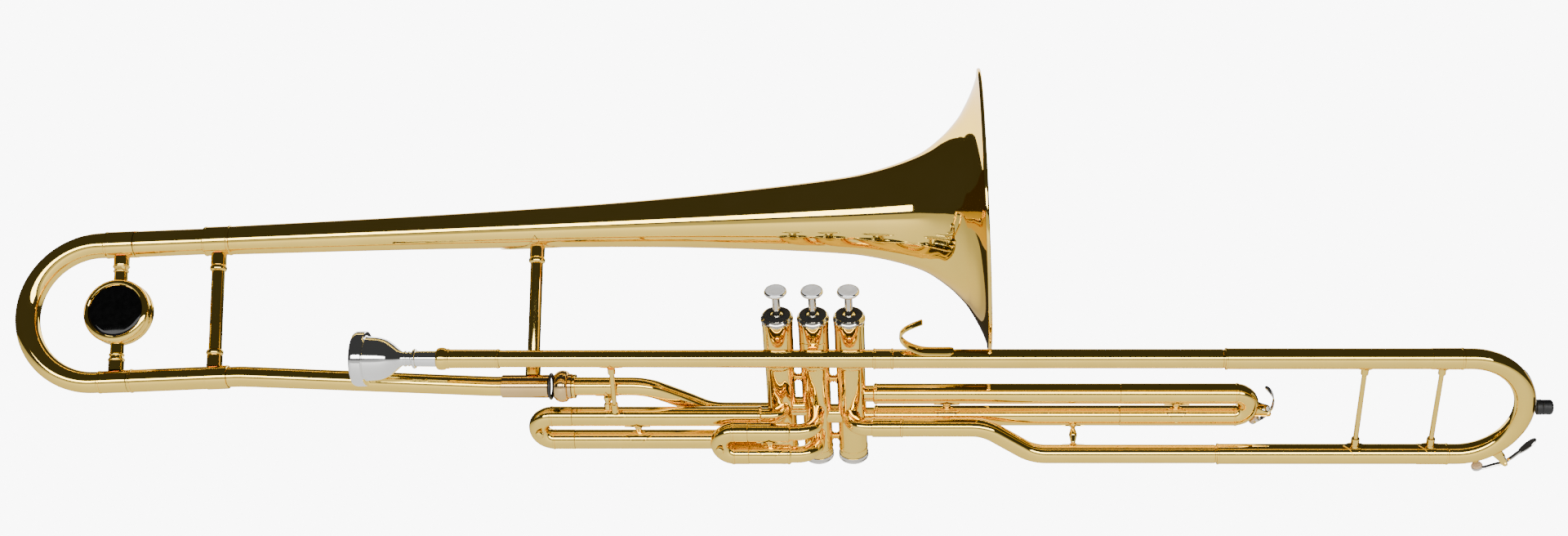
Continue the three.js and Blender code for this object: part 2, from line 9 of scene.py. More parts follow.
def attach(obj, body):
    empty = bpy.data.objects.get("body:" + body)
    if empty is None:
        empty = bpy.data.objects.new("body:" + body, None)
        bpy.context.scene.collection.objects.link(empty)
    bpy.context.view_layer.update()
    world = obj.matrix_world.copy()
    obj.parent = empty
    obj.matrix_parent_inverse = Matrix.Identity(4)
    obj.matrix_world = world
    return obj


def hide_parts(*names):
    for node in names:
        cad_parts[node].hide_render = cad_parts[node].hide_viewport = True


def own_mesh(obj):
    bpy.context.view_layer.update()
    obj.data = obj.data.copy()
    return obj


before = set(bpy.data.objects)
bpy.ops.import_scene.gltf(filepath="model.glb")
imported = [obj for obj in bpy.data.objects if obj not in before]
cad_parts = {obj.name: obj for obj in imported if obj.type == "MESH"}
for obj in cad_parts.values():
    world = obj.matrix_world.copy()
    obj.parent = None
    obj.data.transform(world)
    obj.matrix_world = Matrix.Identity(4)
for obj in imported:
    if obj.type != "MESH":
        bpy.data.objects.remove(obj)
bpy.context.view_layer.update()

MM = 0.001
VALVES = Matrix.Rotation(math.radians(35), 4, "X")
BELL = (Matrix.Translation((119.9, 3.9, 128.9)) @ Matrix.Rotation(math.radians(-14), 4, "X")
        @ Matrix.Rotation(math.radians(-2.4), 4, "Y"))

SHARP_EDGE = math.radians(32)
PITCH = 25.2
BELL_R = 101.6
PIPE_N, LEAD_T, RETURN_T, ENTRY_T = 22, 45, -41, -16.3
SWIVEL = (13, 13.6)
CROOK_SPREAD = 99.5
CROOK_CENTRE = 630.8


def at(x, n, t):
    """A point of the valve frame: along the tubes, towards the front, up the valves."""
    return VALVES @ Vector((x, -n, t))


def behind(a, z=0.0, y=0.0):
    """A point of the bell frame: behind the rim, above the bell's axis, away from the player's left."""
    return BELL @ Vector((-a, y, z))


# ---------------------------------------------------------------- materials
def node_tree(name):
    material = bpy.data.materials.new(name)
    material.use_nodes = True
    nodes = material.node_tree.nodes
    return material, nodes, material.node_tree.links, nodes["Principled BSDF"]


def noise(nodes, links, scale, detail=3.0):
    coordinates = nodes.new("ShaderNodeTexCoord")
    texture = nodes.new("ShaderNodeTexNoise")
    texture.inputs["Scale"].default_value = scale
    texture.inputs["Detail"].default_value = detail
    links.new(coordinates.outputs["Object"], texture.inputs["Vector"])
    return texture.outputs["Fac"]


def ramp(nodes, links, source, low, high, start=0.35, end=0.65):
    """Maps a 0-1 value to a colour between low and high."""
    node = nodes.new("ShaderNodeValToRGB")
    node.color_ramp.elements[0].position = start
    node.color_ramp.elements[1].position = end
    node.color_ramp.elements[0].color = (*low, 1)
    node.color_ramp.elements[1].color = (*high, 1)
    links.new(source, node.inputs["Fac"])
    return node.outputs["Color"]


def spread(nodes, links, source, low, high):
    node = nodes.new("ShaderNodeMapRange")
    node.inputs["From Min"].default_value = 0.3
    node.inputs["From Max"].default_value = 0.7
    node.inputs["To Min"].default_value = low
    node.inputs["To Max"].default_value = high
    links.new(source, node.inputs["Value"])
    return node.outputs["Result"]


def bump(nodes, links, source, strength, distance, shader):
    node = nodes.new("ShaderNodeBump")
    node.inputs["Strength"].default_value = strength
    node.inputs["Distance"].default_value = distance
    links.new(source, node.inputs["Height"])
    links.new(node.outputs["Normal"], shader.inputs["Normal"])


def metal(name, low, high, rough, coat=0.0, ripple=0.02, edge=(1, 1, 1)):
    """Polished metal with faint cloudiness in its colour and gloss, and a slight ripple in its surface."""
    material, nodes, links, shader = node_tree(name)
    shader.inputs["Metallic"].default_value = 1.0
    shader.inputs["Specular Tint"].default_value = (*edge, 1)
    shader.inputs["Coat Weight"].default_value = coat
    shader.inputs["Coat Roughness"].default_value = 0.04
    links.new(ramp(nodes, links, noise(nodes, links, 38), low, high), shader.inputs["Base Color"])
    links.new(spread(nodes, links, noise(nodes, links, 90, 5), *rough), shader.inputs["Roughness"])
    bump(nodes, links, noise(nodes, links, 160, 2), ripple, 0.0004, shader)
    return material


def matt(name, low, high, rough, scale, strength, distance):
    """A dull surface with a fine grain, such as felt, rubber or cork."""
    material, nodes, links, shader = node_tree(name)
    grain = noise(nodes, links, scale, 6)
    links.new(ramp(nodes, links, grain, low, high), shader.inputs["Base Color"])
    links.new(spread(nodes, links, grain, *rough), shader.inputs["Roughness"])
    bump(nodes, links, grain, strength, distance, shader)
    return material


BRASS = metal("lacquered_brass", (0.93, 0.645, 0.12), (0.96, 0.67, 0.135), (0.02, 0.045), coat=0.12,
              edge=(0.88, 0.72, 0.48))
ROSE = metal("rose_brass", (0.72, 0.48, 0.19), (0.77, 0.52, 0.22), (0.07, 0.11), coat=0.05,
             edge=(0.8, 0.62, 0.36))
SILVER = metal("silver_plate", (0.84, 0.84, 0.82), (0.90, 0.90, 0.88), (0.02, 0.05))
NICKEL = metal("nickel_plate", (0.62, 0.59, 0.52), (0.70, 0.67, 0.60), (0.06, 0.12))
STEEL = metal("spring_steel", (0.45, 0.45, 0.47), (0.55, 0.55, 0.57), (0.25, 0.4))
FELT = matt("black_felt", (0.002, 0.002, 0.002), (0.010, 0.010, 0.010), (0.85, 1.0), 2600, 0.8, 0.0003)
RUBBER = matt("black_rubber", (0.003, 0.003, 0.003), (0.008, 0.008, 0.008), (0.4, 0.6), 900, 0.25, 0.0002)
CORK = matt("cork", (0.45, 0.28, 0.13), (0.72, 0.52, 0.32), (0.8, 0.95), 1500, 0.7, 0.0003)


def enamel():
    material, nodes, links, shader = node_tree("black_enamel")
    shader.inputs["Coat Weight"].default_value = 0.05
    shader.inputs["Coat Roughness"].default_value = 0.02
    links.new(ramp(nodes, links, noise(nodes, links, 300), (0.0015, 0.0015, 0.0015), (0.003, 0.003, 0.003)),
              shader.inputs["Base Color"])
    shader.inputs["Specular IOR Level"].default_value = 0.12
    shader.inputs["Roughness"].default_value = 0.05
    return material


def pearl():
    material, nodes, links, shader = node_tree("mother_of_pearl")
    shader.inputs["Coat Weight"].default_value = 0.8
    shader.inputs["Coat Roughness"].default_value = 0.05
    links.new(ramp(nodes, links, noise(nodes, links, 260, 4), (0.78, 0.79, 0.80), (0.93, 0.93, 0.94)),
              shader.inputs["Base Color"])
    shader.inputs["Roughness"].default_value = 0.22
    return material


ENAMEL = enamel()
PEARL = pearl()


# ---------------------------------------------------------------- shapes, in millimetres
class Route:
    """Straight between its corners, with each inner corner turned on an arc of its own radius."""

    def __init__(self, corners, bends=()):
        self.pieces = []
        self.length = 0.0
        here = corners[0].copy()
        way = (corners[1] - corners[0]).normalized()
        turn = way.to_track_quat("Z", "X")
        for i in range(1, len(corners)):
            last = i == len(corners) - 1
            following = None if last else (corners[i + 1] - corners[i]).normalized()
            angle = 0.0 if last else way.angle(following)
            setback = 0.0 if last else bends[i - 1] * math.tan(angle / 2)
            run = (corners[i] - here).length - setback
            self.add(run, lambda s, p=here.copy(), w=way.copy(), q=turn.copy(): (p + w * s, q))
            here = here + way * run
            if last or angle < 1e-6:
                continue
            axis = way.cross(following).normalized()
            centre = here + axis.cross(way) * bends[i - 1]
            self.add(angle * bends[i - 1], self.arc(here.copy(), centre, axis, bends[i - 1], turn.copy()),
                     angle)
            spin = Quaternion(axis, angle)
            here = centre + spin @ (here - centre)
            turn = spin @ turn
            way = following

    def add(self, length, place, angle=0.0):
        self.pieces.append((self.length, length, place, angle))
        self.length += length

    @staticmethod
    def arc(start, centre, axis, radius, turn):
        def place(s):
            spin = Quaternion(axis, s / radius)
            return centre + spin @ (start - centre), spin @ turn
        return place

    def at(self, s):
        """The point at that distance, and the turn that brings Z along the route."""
        begin, _, place, _ = next(p for p in reversed(self.pieces) if s >= p[0] - 1e-6)
        return place(s - begin)

    def stations(self, step):
        marks = []
        for begin, length, _, angle in self.pieces:
            count = max(1, round(math.degrees(angle) / step)) if angle else 0
            marks += [begin + length * k / count for k in range(count + 1)] if count else []
        return marks


def bead(s, r, height=0.55, width=1.6):
    """A half-round ring on a tube, as profile points."""
    return [(s + width / 2 * math.cos(math.pi * k / 6) * -1, r + height * math.sin(math.pi * k / 6))
            for k in range(7)]


def rounded(s0, s1, r, edge=0.5):
    """A stretch of a larger radius with its two edges eased, as profile points."""
    return [(s0, r - edge), (s0 + edge * 0.3, r - edge * 0.3), (s0 + edge, r), (s1 - edge, r),
            (s1 - edge * 0.3, r - edge * 0.3), (s1, r - edge)]


def profile_along(path, radii, step):
    """Profile points with a station at each step of the bends; negative distances count from the far end."""
    if isinstance(radii, (int, float)):
        radii = [(0, radii), (path.length, radii)]
    listed = [(s + path.length if s < 0 else s, r) for s, r in radii]
    points = [listed[0]]
    for (s0, r0), (s1, r1) in zip(listed, listed[1:]):
        between = [s for s in path.stations(step) if s0 + 0.05 < s < s1 - 0.05]
        if s1 - s0 > 1.5:
            between = sorted([s0 + 0.3, s1 - 0.3, *[s for s in between if s0 + 0.5 < s < s1 - 0.5]])
            between = [s for k, s in enumerate(between) if k == 0 or s - between[k - 1] > 0.05]
        points += [(s, r0 + (r1 - r0) * (s - s0) / (s1 - s0)) for s in between]
        points.append((s1, r1))
    return points


END = -1e-9


def sweep(mesh, corners, bends, skin, core=None, sides=48, step=5):
    """Adds a tube, or with no core a rod, whose radius follows the profile along the route."""
    path = Route(corners, bends)
    outline = profile_along(path, skin, step)
    if core is not None:
        outline += profile_along(path, core, step)[::-1]
    rings = []
    for s, r in outline:
        centre, turn = path.at(s)
        rings.append([mesh.verts.new(centre + turn @ Vector((r * math.cos(a), r * math.sin(a), 0)))
                      for a in (2 * math.pi * k / sides for k in range(sides))])
    pairs = list(zip(rings, rings[1:]))
    if core is not None:
        pairs.append((rings[-1], rings[0]))
    for low, high in pairs:
        for k in range(sides):
            mesh.faces.new((low[k], low[(k + 1) % sides], high[(k + 1) % sides], high[k]))
    if core is None:
        mesh.faces.new(rings[0][::-1])
        mesh.faces.new(rings[-1])


def rod(mesh, start, end, skin, sides=32):
    sweep(mesh, [start, end], [], skin, sides=sides)


def strip(mesh, points, thickness, width, place):
    """A flat strip that follows points, rounded at its edges; place maps (x, n, t) offsets to the frame."""
    line = [Vector((x, t)) for x, t in points]
    widths = width if isinstance(width, list) else [width] * len(line)
    rows = []
    edge = thickness * 0.3
    for i, p in enumerate(line):
        half = widths[i] / 2
        across = [(half - edge) * k / 3 for k in range(-3, 4)]
        section = [(-half, -thickness / 2 + edge), *[(n, -thickness / 2) for n in across],
                   (half, -thickness / 2 + edge),
                   (half, thickness / 2 - edge), *[(n, thickness / 2) for n in across[::-1]],
                   (-half, thickness / 2 - edge)]
        count = len(section)
        way = (line[min(i + 1, len(line) - 1)] - line[max(i - 1, 0)]).normalized()
        side = Vector((-way.y, way.x))
        rows.append([mesh.verts.new(place(p.x + side.x * h, n, p.y + side.y * h)) for n, h in section])
    for low, high in zip(rows, rows[1:]):
        for k in range(count):
            mesh.faces.new((low[k], low[(k + 1) % count], high[(k + 1) % count], high[k]))
    mesh.faces.new(rows[0][::-1])
    mesh.faces.new(rows[-1])


def smooth_path(points, per=6):
    """A smooth curve through the points (Catmull-Rom)."""
    padded = [points[0], *points, points[-1]]
    out = []
    for p0, p1, p2, p3 in zip(padded, padded[1:], padded[2:], padded[3:]):
        for k in range(per):
            u = k / per
            out.append(tuple(0.5 * (2 * b + (c - a) * u + (2 * a - 5 * b + 4 * c - d) * u * u
                                    + (3 * b - a - 3 * c + d) * u ** 3) for a, b, c,
                             d in zip(p0, p1, p2, p3)))
    return [*out, tuple(points[-1])]


def flange(mesh, centre, axis, out, tube_r, reach, spread_mm, waist=0.62, thick=0.45, cells=12):
    """A thin pointed plate wrapped on a tube: reach along it each way, spread around it each way."""
    side = axis.cross(out).normalized()
    grid = {}
    for layer, r in ((0, tube_r - 0.3), (1, tube_r + thick)):
        for i in range(cells + 1):
            for j in range(cells + 1):
                p, q = 2 * i / cells - 1, 2 * j / cells - 1
                u, v = (p - q) / 2, (p + q) / 2
                pinch = 1 - (1 - waist) * 4 * abs(u) * abs(v)
                bend = v * spread_mm * pinch / tube_r
                shrink = 1.0 if layer == 0 else 0.94
                grid[layer, i, j] = mesh.verts.new(centre + axis * (u * reach * pinch * shrink)
                                                   + out * (r * math.cos(bend * shrink))
                                                   + side * (r * math.sin(bend * shrink)))
    for i in range(cells):
        for j in range(cells):
            mesh.faces.new([grid[1, i, j], grid[1, i + 1, j], grid[1, i + 1, j + 1], grid[1, i, j + 1]])
            mesh.faces.new([grid[0, i, j], grid[0, i, j + 1], grid[0, i + 1, j + 1], grid[0, i + 1, j]])
    border = ([(k, 0) for k in range(cells)] + [(cells, k) for k in range(cells)]
              + [(k, cells) for k in range(cells, 0, -1)] + [(0, k) for k in range(cells, 0, -1)])
    for (i, j), (k, m) in zip(border, border[1:] + border[:1]):
        mesh.faces.new([grid[0, i, j], grid[0, k, m], grid[1, k, m], grid[1, i, j]])


def piece(name, material, body, nodes, build):
    """Makes one object from what build adds to a mesh in millimetres, in the row frame."""
    mesh = bmesh.new()
    build(mesh)
    bmesh.ops.recalc_face_normals(mesh, faces=mesh.faces)
    bmesh.ops.scale(mesh, vec=(MM, MM, MM), verts=mesh.verts)
    data = bpy.data.meshes.new(name)
    mesh.to_mesh(data)
    mesh.free()
    data.materials.append(material)
    data.shade_smooth()
    data.set_sharp_from_angle(angle=SHARP_EDGE)
    made = bpy.data.objects.new(name, data)
    bpy.context.scene.collection.objects.link(made)
    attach(made, body)
    if nodes:
        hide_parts(*nodes)
    return made


# ---------------------------------------------------------------- bell section
BELL_OUTLINE = [(0, BELL_R), (5, 87), (11.5, 74), (17.4, 65), (30, 52.3), (48, 40.7), (78, 31.4),
                (107, 26.7), (177, 20.8), (235, 17.25), (294, 14.9), (410, 12), (538, 10.2)]

RIM_BEAD = 1.5


def bell(mesh):
    outer = smooth_path([(a, math.log(r)) for a, r in BELL_OUTLINE], per=10)
    outer = [(a, math.exp(r)) for a, r in outer]
    inner = []
    for i, (a, r) in enumerate(outer):
        (a0, r0), (a1, r1) = outer[max(i - 1, 0)], outer[min(i + 1, len(outer) - 1)]
        size = math.hypot(a1 - a0, r1 - r0)
        inner.append((a + 0.5 * (r1 - r0) / size, r - 0.5 * (a1 - a0) / size))
    rim = [(0.1 + RIM_BEAD * math.cos(w), BELL_R - RIM_BEAD + RIM_BEAD * math.sin(w))
           for w in (math.radians(d) for d in range(40, 261, 20))]
    outline = outer[::-1][:-3] + rim + inner[3:]
    sides = 160
    rings = [[mesh.verts.new(behind(a, r * math.cos(w), r * math.sin(w)))
              for w in (2 * math.pi * k / sides for k in range(sides))] for a, r in outline]
    for low, high in zip(rings, rings[1:] + rings[:1]):
        for k in range(sides):
            mesh.faces.new((low[k], low[(k + 1) % sides], high[(k + 1) % sides], high[k]))


piece("bell_shell", BRASS, "bell_section", ["bell"], bell)


def upper_sleeve(mesh):
    skin = [(0, 10.1), *bead(1.1, 10.3, 0.5, 1.8), (2.1, 10.4), (17, 10.4), *bead(17.9, 10.4, 0.35, 1.4),
            (18.8, 10.3), (19, 9.35), (66.4, 9.35), *bead(67.2, 9.35, 0.3, 1.2), (68, 9.2)]
    sweep(mesh, [behind(538.2), behind(606.2)], [], skin, 8.75)


piece("upper_slide_sleeve", BRASS, "bell_section", ["upper_sleeve"], upper_sleeve)


def lower_leg(a):
    return behind(a, -CROOK_SPREAD)


def lower_sleeve(mesh):
    skin = [(0, 7.6), *rounded(0.2, 15, 8.45, 0.4), (15.2, 8.05), (66, 8.05), *bead(68.2, 8.05, 0.5),
            (69.8, 8.05)]
    sweep(mesh, [lower_leg(536.3), lower_leg(606.1)], [], skin, 7.45)


piece("lower_slide_sleeve", BRASS, "bell_section", ["lower_sleeve"], lower_sleeve)


def neckpipe(mesh):
    corners = [lower_leg(540), lower_leg(528), at(-228, *SWIVEL), at(-203, *SWIVEL)]
    sweep(mesh, corners, [60, 60], [(0, 7.2), (END, 6.95)], [(0, 6.6), (END, 6.3)])


piece("neck_pipe", BRASS, "bell_section", ["neckpipe"], neckpipe)


def neck_receiver(mesh):
    skin = [(0, 7.3), (0.15, 7.9), (0.6, 8.1), (30, 8.25), (32.4, 8.25), (32.9, 8.1), (33.1, 7.7)]
    sweep(mesh, [at(-220.9, *SWIVEL), at(-187.8, *SWIVEL)], [], skin, 7.1)


piece("neck_receiver_sleeve", ROSE, "bell_section", ["neck_receiver"], neck_receiver)


def turned_post(length, r, socket, socket_r):
    """Profile of a brace: a rod between two sockets, with bead rings where the sockets end."""
    skin = [(0, socket_r), (socket - 4.6, socket_r), (socket - 4.3, socket_r - 0.4),
            *bead(socket - 2.2, socket_r - 0.2, 0.7, 3.6),
            (socket - 0.2, socket_r - 0.4), (socket, r)]
    far = length - socket
    return [*skin, (far, r), (far + 0.2, socket_r - 0.4), *bead(far + 2.2, socket_r - 0.2, 0.7, 3.6),
            (far + 4.3, socket_r - 0.4), (far + 4.6, socket_r), (length, socket_r)]


def rear_brace(mesh):
    foot, head = behind(547, -CROOK_SPREAD + 7.6), behind(547, -10)
    length = (head - foot).length
    rod(mesh, foot, head, turned_post(length, 4.5, 12.5, 5.35), 40)


piece("rear_cross_brace", BRASS, "bell_section", ["rear_brace"], rear_brace)

BRACE_FOOT = at(-199.5, *SWIVEL)
BRACE_HEAD = behind(319.5)


def bell_brace(mesh):
    way = (BRACE_HEAD - BRACE_FOOT).normalized()
    reach = (BRACE_HEAD - BRACE_FOOT).length
    foot, head = BRACE_FOOT + way * 7.9, BRACE_FOOT + way * (reach - 13.2)
    length = (head - foot).length
    rod(mesh, foot, head, turned_post(length, 4.4, 12.5, 5.3), 40)
    axis = (behind(0) - behind(1)).normalized()
    flange(mesh, BRACE_HEAD, axis, -way, 14.25, 27, 15, waist=0.55)


piece("bell_cross_brace", BRASS, "bell_section", ["bell_brace"], bell_brace)

# ---------------------------------------------------------------- bell tuning slide
CROOK_R = CROOK_SPREAD / 2
CROOK_START = 562
LEG_IN = 606.3 + 0.1 - CROOK_START
LEG_OUT = CROOK_CENTRE - CROOK_START


def tuning_crook(mesh):
    corners = [behind(CROOK_START), behind(CROOK_CENTRE + CROOK_R),
               behind(CROOK_CENTRE + CROOK_R, -CROOK_SPREAD), lower_leg(CROOK_START)]
    near, far = LEG_IN + 0.1, LEG_OUT - 3.3
    skin = [(0, 8.5), (LEG_IN, 8.5), (near, 9.3), (near + 0.4, 9.6), (far - 2, 9.5),
            *bead(far - 1, 9.3, 0.45, 1.8), (far, 9.1),
            (-far, 7.5), *bead(1 - far, 7.7, 0.45, 1.8), (2 - far, 7.9), (-near - 0.4, 8.1), (-near, 7.8),
            (-LEG_IN, 7.15), (END, 7.15)]
    core = [(0, 7.9), (LEG_OUT, 7.9), (-LEG_OUT, 6.5), (END, 6.5)]
    sweep(mesh, corners, [CROOK_R, CROOK_R], skin, core, sides=64, step=3)


piece("bell_tuning_crook", BRASS, "bell_tuning_slide", ["tuning_crook"], tuning_crook)

WEIGHT_A = 616.2
WEIGHT_R = 23.2


def on_weight(y, z=0.0):
    return behind(WEIGHT_A, -CROOK_SPREAD / 2 + z, y)


def counterweight(mesh):
    skin = [(0, 20.6), (0.5, 21.2), (1.6, 22.9), (2.6, WEIGHT_R), (5.4, WEIGHT_R), (6.3, 22.7), (6.9, 22.1),
            (7.6, 22.7),
            (8.4, WEIGHT_R), (12, WEIGHT_R), (13.2, 22.7), (14.2, 21.6), (14.8, 20.4), (15, 19.6),
            (14.7, 19.1), (13.2, 18.9)]
    sweep(mesh, [on_weight(7), on_weight(-8)], [], skin, sides=96)
    for sign, tube_r in ((1, 9.2), (-1, 7.8)):
        near = 22.6
        far = CROOK_SPREAD / 2 - tube_r
        length = far - near
        low, high = sorted((length * 0.42, length * 0.60))
        skin = [(0, 4.6), (low - 1, 4.6), *bead(low, 4.6, 0.7, 1.8), (low + 1.2, 4.7),
                *bead(high, 5.2, 0.6, 1.6), (high + 1.2, 5.3), (length, 5.3)]
        rod(mesh, on_weight(0, sign * near), on_weight(0, sign * far), skin, 40)


piece("counterweight_body", BRASS, "bell_tuning_slide", ["counterweight"], counterweight)


def weight_disc(mesh):
    dome = [(0, 18.5), (0.8, 18.5), (1.0, 18.2), *[(1.0 + 0.9 * (1 - (r / 18.2) ** 2), r)
                                                   for r in (16, 13, 10, 7, 4, 1.5)]]
    sweep(mesh, [on_weight(-6.2), on_weight(-8.1)], [], dome, sides=96)


piece("counterweight_black_disc", ENAMEL, "bell_tuning_slide", ["counterweight_disc"], weight_disc)

# ---------------------------------------------------------------- swivel joint
def lock_nut(mesh):
    body = [(0, 7.6), (0.1, 8.5), (0.7, 9.3), (1.8, 10.1), (3.0, 10.8), (4.2, 11.25), (4.5, 11.15),
            (4.8, 11.3), (6.0, 11.35), (7.0, 11.2),
            (7.3, 11.0), (7.6, 11.1), (8.6, 10.7), (9.4, 10.1), (9.7, 9.6)]
    collar = [(9.8, 8.7), (10.1, 8.9), (11.9, 8.9), (12.4, 8.7), (12.5, 7.6)]
    sweep(mesh, [at(-183.8, *SWIVEL), at(-171.3, *SWIVEL)], [], body + collar, 7.0, sides=64)


piece("swivel_lock_nut", ROSE, "lock_nut", ["lock_nut"], lock_nut)


def lock_washer(mesh):
    ring = [(1 - math.cos(w), 8.6 + math.sin(w)) for w in (math.pi * k / 10 for k in range(11))]
    sweep(mesh, [at(-187.3, *SWIVEL), at(-185.3, *SWIVEL)], [], ring, 7.9, sides=64)


piece("swivel_washer", RUBBER, "body", ["lock_washer"], lock_washer)


def exit_tube(mesh):
    corners = [at(-183, *SWIVEL), at(-119, *SWIVEL), at(-97, 3.5, -4.9), at(-76, -1, -20),
               at(-PITCH - 9.2, -1, -20)]
    skin = [(0, 6.5), (12, 6.5), *rounded(12.1, 14.2, 8.6, 0.4), (14.3, 6.5), (END, 6.2)]
    sweep(mesh, corners, [28, 60, 28], skin, 5.8)
    post = [(0, 3.2), (1.2, 2.2), (2.4, 2.6), (3.8, 3.0), (5.2, 2.6), (6.4, 2.1), (-4.6, 2.1), (-4.2, 2.7),
            (-2.8, 3.0), (-1.4, 2.6), (END, 3)]
    rod(mesh, at(-147, SWIVEL[0] + 0.2, SWIVEL[1] - 6), at(-147, 17, -10.4 + 6.8), post, 28)
    flange(mesh, at(-147, *SWIVEL), Vector((1, 0, 0)), VALVES.to_3x3() @ Vector((0, -0.5,
                                                                                 -0.87)).normalized(), 6.5,
           8.5, 7)


piece("exit_pipe", BRASS, "body", ["exit_tube"], exit_tube)

# ---------------------------------------------------------------- mouthpiece and leadpipe
RIM_X = -318.4


def mouthpiece(mesh):
    x = lambda v: v - RIM_X
    rim = [(0.0, 15.9), (0.25, 17.2), (0.9, 18.5), (2.0, 19.1), (3.4, 19.3), (7.6, 19.25), (8.6, 19.05),
           (9.0, 18.6)]
    cup = [(9.1, 15.7), (9.6, 15.5), (x(-305.5), 15.3), (x(-302), 15.0), (x(-299), 14.4), (x(-296.5), 13.6),
           (x(-294.3), 12.5),
           (x(-292.3), 11.2), (x(-290.4), 9.7), (x(-288.8), 8.3), (x(-287.3), 6.9), (x(-286), 5.8),
           (x(-284.9), 5.1), (x(-284.2), 4.9)]
    throat = [*bead(x(-282.8), 4.9, 0.7, 1.8), (x(-281.6), 4.7), *bead(x(-280.2), 4.8, 0.6, 1.5),
              (x(-279.2), 4.8), (x(-278.4), 5.1), *bead(x(-276.5), 5.5, 1.5, 2.6), (x(-274.9), 5.5)]
    shank = [(x(-262), 5.65), (80, 5.3)]
    inner = [(0.0, 15.9), (0.35, 14.4), (1.4, 13.0), (2.8, 12.6), (6, 12.3), (9, 11.8), (13, 11), (17, 9.9),
             (21, 8.2), (25, 6.2), (29, 4.2), (32, 3.25), (38, 3.3), (80, 4.6)]
    sweep(mesh, [at(RIM_X, PIPE_N, LEAD_T), at(RIM_X + 80, PIPE_N, LEAD_T)], [],
          rim + smooth_path(cup, 4) + throat + shank, inner, sides=128)


piece("mouthpiece_cup", SILVER, "mouthpiece", ["mouthpiece"], mouthpiece)


def mouthpiece_receiver(mesh):
    ring = [(0, 6.5), (0.3, 7.0), (1.0, 7.5), (2.2, 7.85), (3.8, 7.9), (5.2, 7.7), (6.3, 7.2), (6.9, 6.9),
            (7.3, 7.0), (7.9, 7.1), (8.4, 6.9), (8.8, 6.55)]
    skin = [*smooth_path(ring, 3), (41.2, 6.5), *bead(42.3, 6.5, 0.35, 1.6), (43.3, 6.5), (43.6, 6.4)]
    sweep(mesh, [at(-260.9, PIPE_N, LEAD_T), at(-217.3, PIPE_N, LEAD_T)], [], skin, 6.35)


piece("receiver_sleeve", BRASS, "body", ["mouthpiece_receiver"], mouthpiece_receiver)
LEAD_START = -237.5


def leadpipe(mesh):
    x = lambda v: v - LEAD_START
    skin = [(0, 5.95), (x(-217), 5.95), (x(42.2), 6.5), *bead(x(43.2), 6.9, 0.5, 1.8), (x(44.2), 7.0),
            (x(54.6), 7.0),
            *bead(x(55.6), 6.95, 0.5, 1.8), (x(56.6), 6.8), (x(285.4), 6.8), (x(285.8), 6.5), (x(380), 6.5)]
    sweep(mesh, [at(LEAD_START, PIPE_N, LEAD_T), at(380, PIPE_N, LEAD_T)], [], skin,
          [(0, 5.3), (x(42.2), 5.9), (x(380), 5.9)])


piece("lead_pipe", BRASS, "body", ["leadpipe"], leadpipe)

HOOK = [(98.3, 52.6), (88, 52.6), (78, 52.9), (72, 54.6), (66, 57.9), (62.2, 62.4), (61.9, 66.6),
        (64.5, 70.3), (69.5, 73.6), (76.7, 77)]


def finger_hook(mesh):
    path = smooth_path(HOOK)
    widths = [min(9.0 * math.sqrt(min(1, 0.25 + (98.3 - x) / 4)),
                  5.9 + 3.1 * max(0, min(1, (64 - t) / 10))) for x, t in path]
    strip(mesh, path, 1.9, widths, lambda x, n, t: at(x, PIPE_N + n, t - n * n / 15))


piece("finger_rest_hook", BRASS, "body", ["finger_hook"], finger_hook)


def leadpipe_brace(mesh):
    head, foot = at(-140.3, PIPE_N + 1.4, LEAD_T - 6), at(-141.7, 20.8, -3.4)
    skin = [(0, 3.2), (0.6, 2.7), (5.8, 2.7), (6.4, 1.8), (-8.2, 1.75), (-8.0, 2.4), (-7.4, 2.6),
            (-0.8, 2.6), (END, 3.2)]
    rod(mesh, head, foot, skin, 28)
    turn = VALVES.to_3x3()
    flange(mesh, at(-141.7, 17, -10.4), Vector((1, 0, 0)), (turn @ Vector((0, -0.75, 0.66))).normalized(),
           7.0, 9, 8)
    flange(mesh, at(-140.3, PIPE_N, LEAD_T), Vector((1, 0, 0)),
           (turn @ Vector((0, -0.35, -0.94))).normalized(), 6.15, 8.5, 6.5)


piece("lead_pipe_brace", BRASS, "body", ["leadpipe_brace"], leadpipe_brace)


def return_tube(mesh):
    corners = [at(380, PIPE_N, RETURN_T), at(155, PIPE_N, RETURN_T), at(120, PIPE_N, ENTRY_T),
               at(PITCH, PIPE_N, ENTRY_T), at(PITCH, 9.4, ENTRY_T)]
    path = Route(corners, [30, 30, 12])
    s = lambda v: path.length - v
    skin = [(0, 6.5), (94.2, 6.5), (94.6, 6.8), (s(44.6), 6.8), *bead(s(43.6), 6.85, 0.5, 1.8),
            (s(42.6), 7.1), (s(23.2), 7.1), (s(22.7), 6.9), (s(22.5), 6.3),
            (s(0), 6.1)]
    sweep(mesh, corners, [30, 30, 12], skin, 5.6)


piece("return_pipe", BRASS, "body", ["return_tube"], return_tube)


def slide_brace(mesh):
    a, b = at(184.2, 0, -23.3), at(184.2, PIPE_N, RETURN_T)
    way = (b - a).normalized()
    skin = [(0, 3.4), (1, 2.6), (1.8, 1.6), (2.4, 1.6), (6.4, 2.8), (7.4, 3.0), (8.2, 2.8), (12.8, 1.7),
            (13.2, 1.7), (13.8, 2.6), (END, 3.4)]
    rod(mesh, a + way * 7.0, b - way * 6.2, skin, 32)
    flange(mesh, a, Vector((1, 0, 0)), way, 7.4, 8.5, 6)
    flange(mesh, b, Vector((1, 0, 0)), -way, 6.7, 8.5, 6)


piece("third_slide_post", BRASS, "body", ["slide_brace"], slide_brace)

